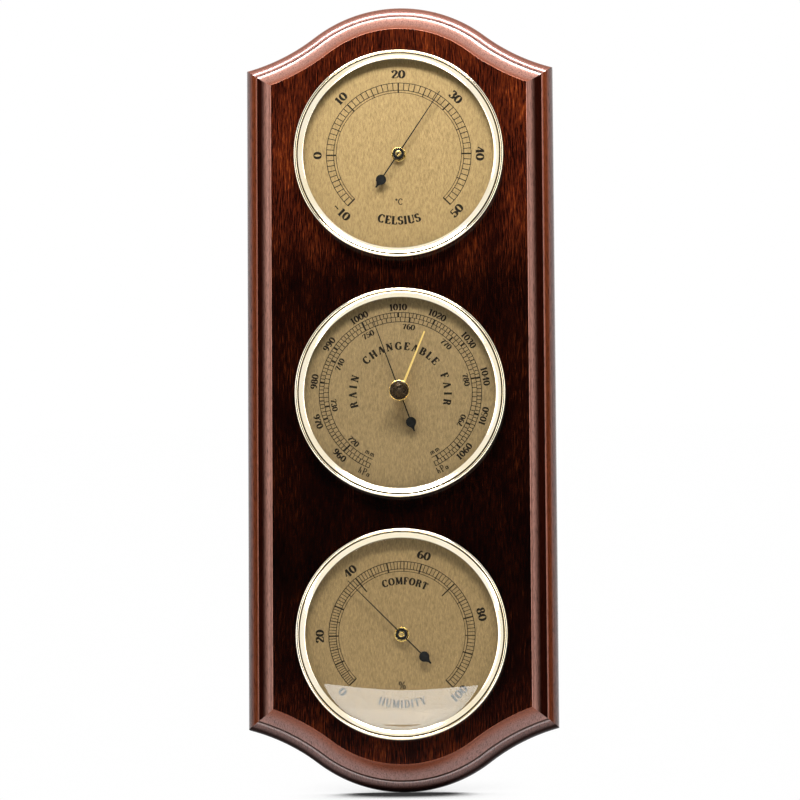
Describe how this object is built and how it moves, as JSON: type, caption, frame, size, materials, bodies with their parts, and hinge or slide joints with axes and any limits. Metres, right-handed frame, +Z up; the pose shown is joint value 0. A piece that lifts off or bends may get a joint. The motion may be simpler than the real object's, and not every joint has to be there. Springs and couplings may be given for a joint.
{
  "type": "wall weather station",
  "caption": "Wall weather station: thermometer, barometer with set hand and hair hygrometer, in polished bezels on an arched, moulded wooden board with a keyhole hanger.",
  "frame": {"origin": "centre of the keyhole's round hole in the back face of the board, which is the plane of the wall", "axes": "+Z up along the board, +X to the right as seen from the front, +Y into the wall; the dials face -Y"},
  "size_m": [0.15, 0.04, 0.384],
  "materials": {
    "wood": "polished mahogany",
    "steel": "plain",
    "dial": "brushed, champagne",
    "glass": "clear, domed",
    "bezel": "polished",
    "pointer": "satin black",
    "gilt": "polished gilt",
    "brass": "plain",
    "hair": "bundle of hairs"
  },
  "bodies": {
    "board": {"backboard": "wood", "hanger_plate": "steel", "hanger_screws": "brass", "thermo_case": "brass", "thermo_clips": "steel", "thermo_dial": "dial", "thermo_spacer": "dial", "thermo_glass": "glass", "thermo_bezel": "bezel", "thermo_bush": "brass", "baro_case": "brass", "baro_clips": "steel", "baro_dial": "dial", "baro_spacer": "dial", "baro_glass": "glass", "baro_bezel": "bezel", "baro_bush": "brass", "hygro_case": "brass", "hygro_clips": "steel", "hygro_dial": "dial", "hygro_spacer": "dial", "hygro_glass": "glass", "hygro_bezel": "bezel", "hygro_bush": "brass", "thermo_plate": "brass", "thermo_post": "brass", "thermo_coil": "steel", "baro_plate": "brass", "baro_bridge": "brass", "baro_capsule": "brass", "baro_hairspring": "steel", "hygro_plate": "brass", "hygro_bridge": "brass", "hygro_hairspring": "steel", "hygro_anchor": "brass", "hygro_hair": "hair"},
    "thermo_movement": {"thermo_arbor": "brass", "thermo_pointer": "pointer"},
    "baro_movement": {"baro_arbor": "brass", "baro_pointer": "pointer"},
    "baro_sector": {"baro_sector": "brass"},
    "baro_rocker": {"baro_rocker": "steel"},
    "set_hand": {"baro_set_hand": "gilt", "baro_knob": "brass"},
    "baro_adjuster": {"baro_adjuster": "brass"},
    "hygro_movement": {"hygro_arbor": "brass", "hygro_pointer": "pointer"},
    "hygro_sector": {"hygro_sector": "brass"},
    "hygro_adjuster": {"hygro_adjuster": "brass"}
  },
  "joints": [
    {"name": "thermo_pointer_turn", "type": "hinge", "parent": "board", "child": "thermo_movement", "pos_m": [0, 0, -0.055], "axis": [0, 1, 0], "range_deg": [-168.75, 101.25], "stiffness_Nm_per_rad": 0.001, "deforming": ["thermo_coil"]},
    {"name": "baro_rocker_tilt", "type": "hinge", "parent": "board", "child": "baro_rocker", "pos_m": [0.01666, -0.0125, -0.19015], "axis": [1, 0, 0], "range_deg": [-9.24, 7.31], "stiffness_Nm_per_rad": 0.01, "deforming": ["baro_capsule"]},
    {"name": "baro_sector_turn", "type": "hinge", "parent": "board", "child": "baro_sector", "pos_m": [-0.01655, 0, -0.18855], "axis": [0, 1, 0], "range_deg": [-14.5, 11.5]},
    {"name": "baro_pointer_turn", "type": "hinge", "parent": "board", "child": "baro_movement", "pos_m": [0, 0, -0.172], "axis": [0, 1, 0], "range_deg": [-137.6, 173.9], "deforming": ["baro_hairspring"]},
    {"name": "set_hand_turn", "type": "hinge", "parent": "board", "child": "set_hand", "pos_m": [0, 0, -0.172], "axis": [0, 1, 0], "continuous": true},
    {"name": "baro_adjuster_turn", "type": "hinge", "parent": "board", "child": "baro_adjuster", "pos_m": [0.01666, 0, -0.18715], "axis": [0, 1, 0], "range_deg": [-360, 360]},
    {"name": "hygro_sector_turn", "type": "hinge", "parent": "board", "child": "hygro_sector", "pos_m": [-0.01655, 0, -0.30555], "axis": [0, 1, 0], "range_deg": [-15.09, 7.4], "stiffness_Nm_per_rad": 0.05, "deforming": ["hygro_hair"]},
    {"name": "hygro_pointer_turn", "type": "hinge", "parent": "board", "child": "hygro_movement", "pos_m": [0, 0, -0.289], "axis": [0, 1, 0], "range_deg": [-88.9, 181.2], "deforming": ["hygro_hairspring"]},
    {"name": "hygro_adjuster_turn", "type": "hinge", "parent": "board", "child": "hygro_adjuster", "pos_m": [-0.01355, 0, -0.259], "axis": [0, 1, 0], "range_deg": [-360, 360]}
  ],
  "couplings": [
    {"joint": "baro_sector_turn", "follows": "baro_rocker_tilt", "ratio": 1.5667},
    {"joint": "baro_pointer_turn", "follows": "baro_rocker_tilt", "ratio": -18.8},
    {"joint": "hygro_pointer_turn", "follows": "hygro_sector_turn", "ratio": -12}
  ]
}
